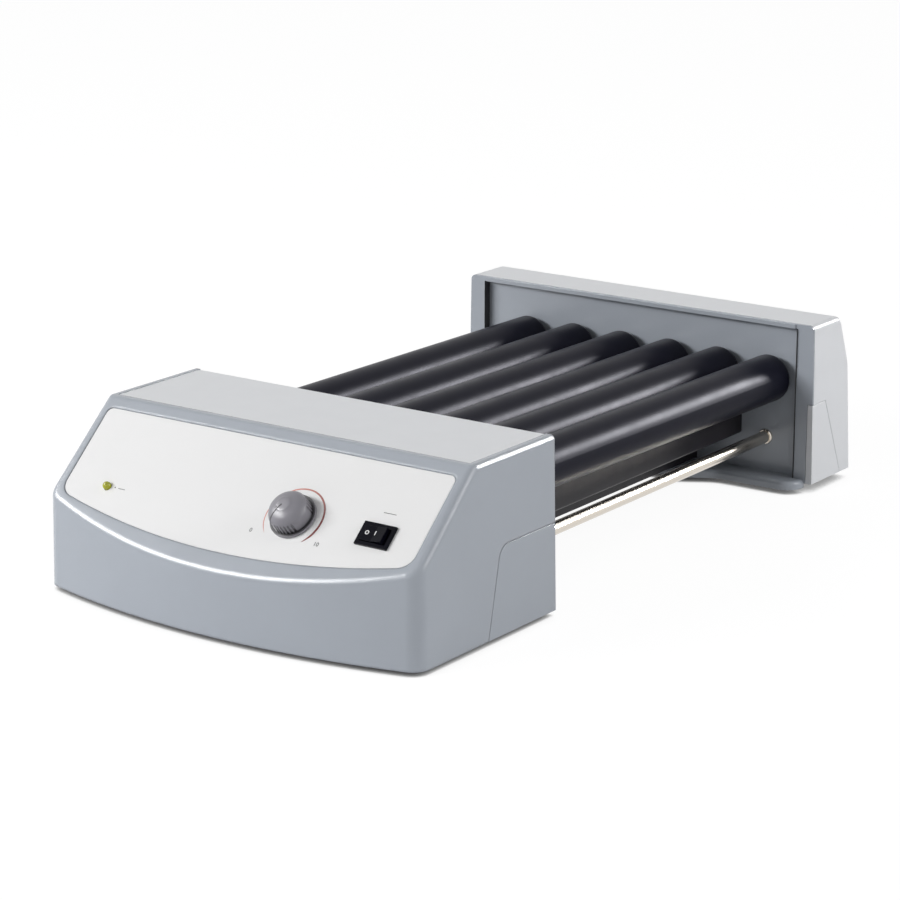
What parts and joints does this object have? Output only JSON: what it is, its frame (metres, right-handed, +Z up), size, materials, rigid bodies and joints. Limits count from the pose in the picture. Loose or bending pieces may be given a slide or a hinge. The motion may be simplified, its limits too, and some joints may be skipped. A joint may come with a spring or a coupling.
{
  "type": "roller mixer",
  "caption": "Bench roller mixer: tilted rubber rollers between a sloped control housing and a rear housing, with side rods, drip tray, speed knob and rocker switch.",
  "frame": {"origin": "middle of the footprint, on the table", "axes": "+X to the right seen from the control panel, +Y from the control housing to the rear housing, +Z up"},
  "size_m": [0.271, 0.5005, 0.1115],
  "materials": {
    "grey_plastic": "fine satin texture",
    "light_plastic": "fine satin texture",
    "label_film": "smooth printed film",
    "plate_steel": "zinc plated sheet",
    "bright_steel": "turned steel",
    "bronze": "sintered bronze",
    "motor_metal": "plated can",
    "circuit_board": "solder mask",
    "knob_plastic": "satin moulding",
    "black_plastic": "satin moulding",
    "lamp_lens": "tinted lens",
    "foot_rubber": "matt",
    "polished_rod": "polished",
    "black_tray": "satin powder coat",
    "roller_rubber": "satin",
    "gear_nylon": "natural nylon"
  },
  "bodies": {
    "housing": {"front_shell": "grey_plastic", "front_top_cover": "light_plastic", "control_label": "label_film", "front_base": "grey_plastic", "front_back_panel": "grey_plastic", "front_bearing_plate": "plate_steel", "gear_plate": "plate_steel", "plate_standoffs": "bright_steel", "idler_pins": "bright_steel", "front_bearings": "bronze", "rear_bearings": "bronze", "gear_motor": "motor_metal", "motor_screws": "bright_steel", "control_board": "circuit_board", "board_screws": "bright_steel", "potentiometer": "plate_steel", "switch_body": "black_plastic", "led_lamp": "lamp_lens", "power_inlet": "black_plastic", "front_feet": "foot_rubber", "rear_feet": "foot_rubber", "rear_cover": "light_plastic", "rear_bezel": "grey_plastic", "rear_base": "light_plastic", "rear_bearing_plate": "plate_steel", "side_rod_left": "polished_rod", "side_rod_right": "polished_rod", "rod_collars": "polished_rod", "rod_nuts": "bright_steel", "drip_tray": "black_tray", "base_spine": "black_tray", "base_screws": "bright_steel"},
    "roller_1": {"roller_core_1": "bright_steel", "roller_sleeve_1": "roller_rubber", "roller_gear_1": "gear_nylon"},
    "roller_2": {"roller_core_2": "bright_steel", "roller_sleeve_2": "roller_rubber", "roller_gear_2": "gear_nylon"},
    "roller_3": {"roller_core_3": "bright_steel", "roller_sleeve_3": "roller_rubber", "roller_gear_3": "gear_nylon"},
    "roller_4": {"roller_core_4": "bright_steel", "roller_sleeve_4": "roller_rubber", "roller_gear_4": "gear_nylon"},
    "roller_5": {"roller_core_5": "bright_steel", "roller_sleeve_5": "roller_rubber", "roller_gear_5": "gear_nylon"},
    "roller_6": {"roller_core_6": "bright_steel", "roller_sleeve_6": "roller_rubber", "roller_gear_6": "gear_nylon"},
    "idler_1": {"idler_gear_1": "gear_nylon"},
    "idler_2": {"idler_gear_2": "gear_nylon"},
    "idler_3": {"idler_gear_3": "gear_nylon"},
    "idler_4": {"idler_gear_4": "gear_nylon"},
    "idler_5": {"idler_gear_5": "gear_nylon"},
    "motor_rotor": {"motor_pinion": "bright_steel"},
    "speed_knob": {"knob": "knob_plastic", "pot_shaft": "bright_steel"},
    "power_rocker": {"switch_rocker": "black_plastic"}
  },
  "joints": [
    {"name": "roller_1_spin", "type": "hinge", "parent": "housing", "child": "roller_1", "pos_m": [-0.09375, 0.05125, 0.071], "axis": [0, 1, 0], "continuous": true},
    {"name": "roller_2_spin", "type": "hinge", "parent": "housing", "child": "roller_2", "pos_m": [-0.05625, 0.05125, 0.071], "axis": [0, 1, 0], "continuous": true},
    {"name": "roller_3_spin", "type": "hinge", "parent": "housing", "child": "roller_3", "pos_m": [-0.01875, 0.05125, 0.071], "axis": [0, 1, 0], "continuous": true},
    {"name": "roller_4_spin", "type": "hinge", "parent": "housing", "child": "roller_4", "pos_m": [0.01875, 0.05125, 0.071], "axis": [0, 1, 0], "continuous": true},
    {"name": "roller_5_spin", "type": "hinge", "parent": "housing", "child": "roller_5", "pos_m": [0.05625, 0.05125, 0.071], "axis": [0, 1, 0], "continuous": true},
    {"name": "roller_6_spin", "type": "hinge", "parent": "housing", "child": "roller_6", "pos_m": [0.09375, 0.05125, 0.071], "axis": [0, 1, 0], "continuous": true},
    {"name": "idler_1_spin", "type": "hinge", "parent": "housing", "child": "idler_1", "pos_m": [-0.075, -0.11275, 0.071], "axis": [0, 1, 0], "continuous": true},
    {"name": "idler_2_spin", "type": "hinge", "parent": "housing", "child": "idler_2", "pos_m": [-0.0375, -0.11275, 0.071], "axis": [0, 1, 0], "continuous": true},
    {"name": "idler_3_spin", "type": "hinge", "parent": "housing", "child": "idler_3", "pos_m": [0, -0.11275, 0.071], "axis": [0, 1, 0], "continuous": true},
    {"name": "idler_4_spin", "type": "hinge", "parent": "housing", "child": "idler_4", "pos_m": [0.0375, -0.11275, 0.071], "axis": [0, 1, 0], "continuous": true},
    {"name": "idler_5_spin", "type": "hinge", "parent": "housing", "child": "idler_5", "pos_m": [0.075, -0.11275, 0.071], "axis": [0, 1, 0], "continuous": true},
    {"name": "motor_spin", "type": "hinge", "parent": "housing", "child": "motor_rotor", "pos_m": [-0.01875, -0.11275, 0.05225], "axis": [0, 1, 0], "continuous": true},
    {"name": "speed_knob_turn", "type": "hinge", "parent": "housing", "child": "speed_knob", "pos_m": [0.0383, -0.21757, 0.0707], "axis": [0, 0.6734, -0.7392], "range_deg": [0, 270]},
    {"name": "power_rocker_tip", "type": "hinge", "parent": "housing", "child": "power_rocker", "pos_m": [0.0956, -0.21681, 0.06882], "axis": [0, 0.7392, 0.6734], "range_deg": [0, 14]}
  ],
  "couplings": [
    {"joint": "roller_1_spin", "follows": "roller_3_spin", "ratio": 1},
    {"joint": "roller_2_spin", "follows": "roller_3_spin", "ratio": 1},
    {"joint": "roller_4_spin", "follows": "roller_3_spin", "ratio": 1},
    {"joint": "roller_5_spin", "follows": "roller_3_spin", "ratio": 1},
    {"joint": "roller_6_spin", "follows": "roller_3_spin", "ratio": 1},
    {"joint": "idler_1_spin", "follows": "roller_3_spin", "ratio": -1.5},
    {"joint": "idler_2_spin", "follows": "roller_3_spin", "ratio": -1.5},
    {"joint": "idler_3_spin", "follows": "roller_3_spin", "ratio": -1.5},
    {"joint": "idler_4_spin", "follows": "roller_3_spin", "ratio": -1.5},
    {"joint": "idler_5_spin", "follows": "roller_3_spin", "ratio": -1.5},
    {"joint": "motor_spin", "follows": "roller_3_spin", "ratio": -1.5}
  ]
}
